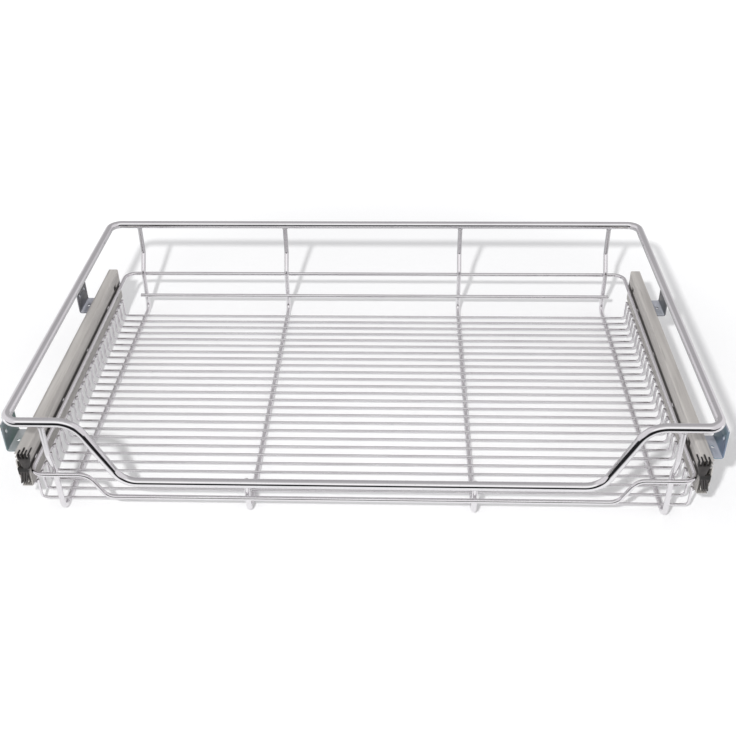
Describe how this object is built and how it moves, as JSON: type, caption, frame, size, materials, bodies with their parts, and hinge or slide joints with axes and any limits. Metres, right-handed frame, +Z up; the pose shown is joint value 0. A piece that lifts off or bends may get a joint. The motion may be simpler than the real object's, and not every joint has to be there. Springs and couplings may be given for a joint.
{
  "type": "pull out cabinet basket",
  "caption": "Shallow chrome wire pull-out basket with a dipped front rim, carried by ball-bearing side slides on bracket plates.",
  "frame": {"origin": "on the plane under the basket's frame wires, below the middle of the overall box", "axes": "+X to the right seen from the front, +Y to the back, +Z up; the basket pulls out along -Y"},
  "size_m": [0.764, 0.465, 0.134],
  "materials": {
    "wire": "polished chrome plate",
    "slide": "zinc plate, dull",
    "bracket": "blue passivated zinc",
    "rivet": "zinc plate",
    "cage": "bright rolled strip",
    "ball": "polished",
    "plastic": "moulded black"
  },
  "bodies": {
    "cabinet_side": {"left_cabinet_member": "slide", "right_cabinet_member": "slide", "left_front_bracket": "bracket", "right_front_bracket": "bracket", "left_rear_bracket": "bracket", "right_rear_bracket": "bracket", "left_bracket_rivets": "rivet", "right_bracket_rivets": "rivet"},
    "basket": {"top_rim": "wire", "mid_ring": "wire", "rear_rail": "wire", "bottom_wires": "wire", "left_outer_frame": "wire", "left_inner_frame": "wire", "right_inner_frame": "wire", "right_outer_frame": "wire", "left_side_rail": "wire", "right_side_rail": "wire", "left_basket_member": "slide", "right_basket_member": "slide", "left_front_bumper": "plastic", "right_front_bumper": "plastic", "left_rear_guide": "plastic", "right_rear_guide": "plastic"},
    "left_middle": {"left_middle_member": "slide"},
    "left_outer_balls": {"left_outer_cage": "cage", "left_outer_balls": "ball"},
    "left_inner_balls": {"left_inner_cage": "cage", "left_inner_balls": "ball"},
    "left_lever": {"left_release_lever": "plastic"},
    "right_middle": {"right_middle_member": "slide"},
    "right_outer_balls": {"right_outer_cage": "cage", "right_outer_balls": "ball"},
    "right_inner_balls": {"right_inner_cage": "cage", "right_inner_balls": "ball"},
    "right_lever": {"right_release_lever": "plastic"}
  },
  "joints": [
    {"name": "basket_slide", "type": "slide", "parent": "cabinet_side", "child": "basket", "axis": [0, -1, 0], "range_m": [0, 0.4]},
    {"name": "left_middle_slide", "type": "slide", "parent": "cabinet_side", "child": "left_middle", "axis": [0, -1, 0], "range_m": [0, 0.2]},
    {"name": "left_outer_balls_slide", "type": "slide", "parent": "cabinet_side", "child": "left_outer_balls", "axis": [0, -1, 0], "range_m": [0, 0.3]},
    {"name": "left_inner_balls_slide", "type": "slide", "parent": "cabinet_side", "child": "left_inner_balls", "axis": [0, -1, 0], "range_m": [0, 0.1]},
    {"name": "left_lever_pivot", "type": "hinge", "parent": "basket", "child": "left_lever", "pos_m": [-0.3572, -0.1455, 0.057], "axis": [-1, 0, 0], "range_deg": [0, 6]},
    {"name": "right_middle_slide", "type": "slide", "parent": "cabinet_side", "child": "right_middle", "axis": [0, -1, 0], "range_m": [0, 0.2]},
    {"name": "right_outer_balls_slide", "type": "slide", "parent": "cabinet_side", "child": "right_outer_balls", "axis": [0, -1, 0], "range_m": [0, 0.3]},
    {"name": "right_inner_balls_slide", "type": "slide", "parent": "cabinet_side", "child": "right_inner_balls", "axis": [0, -1, 0], "range_m": [0, 0.1]},
    {"name": "right_lever_pivot", "type": "hinge", "parent": "basket", "child": "right_lever", "pos_m": [0.3572, -0.1455, 0.057], "axis": [-1, 0, 0], "range_deg": [0, 6]}
  ],
  "couplings": [
    {"joint": "left_middle_slide", "follows": "basket_slide", "ratio": 0.5},
    {"joint": "left_outer_balls_slide", "follows": "basket_slide", "ratio": 0.75},
    {"joint": "left_inner_balls_slide", "follows": "basket_slide", "ratio": 0.25},
    {"joint": "right_middle_slide", "follows": "basket_slide", "ratio": 0.5},
    {"joint": "right_outer_balls_slide", "follows": "basket_slide", "ratio": 0.75},
    {"joint": "right_inner_balls_slide", "follows": "basket_slide", "ratio": 0.25}
  ]
}
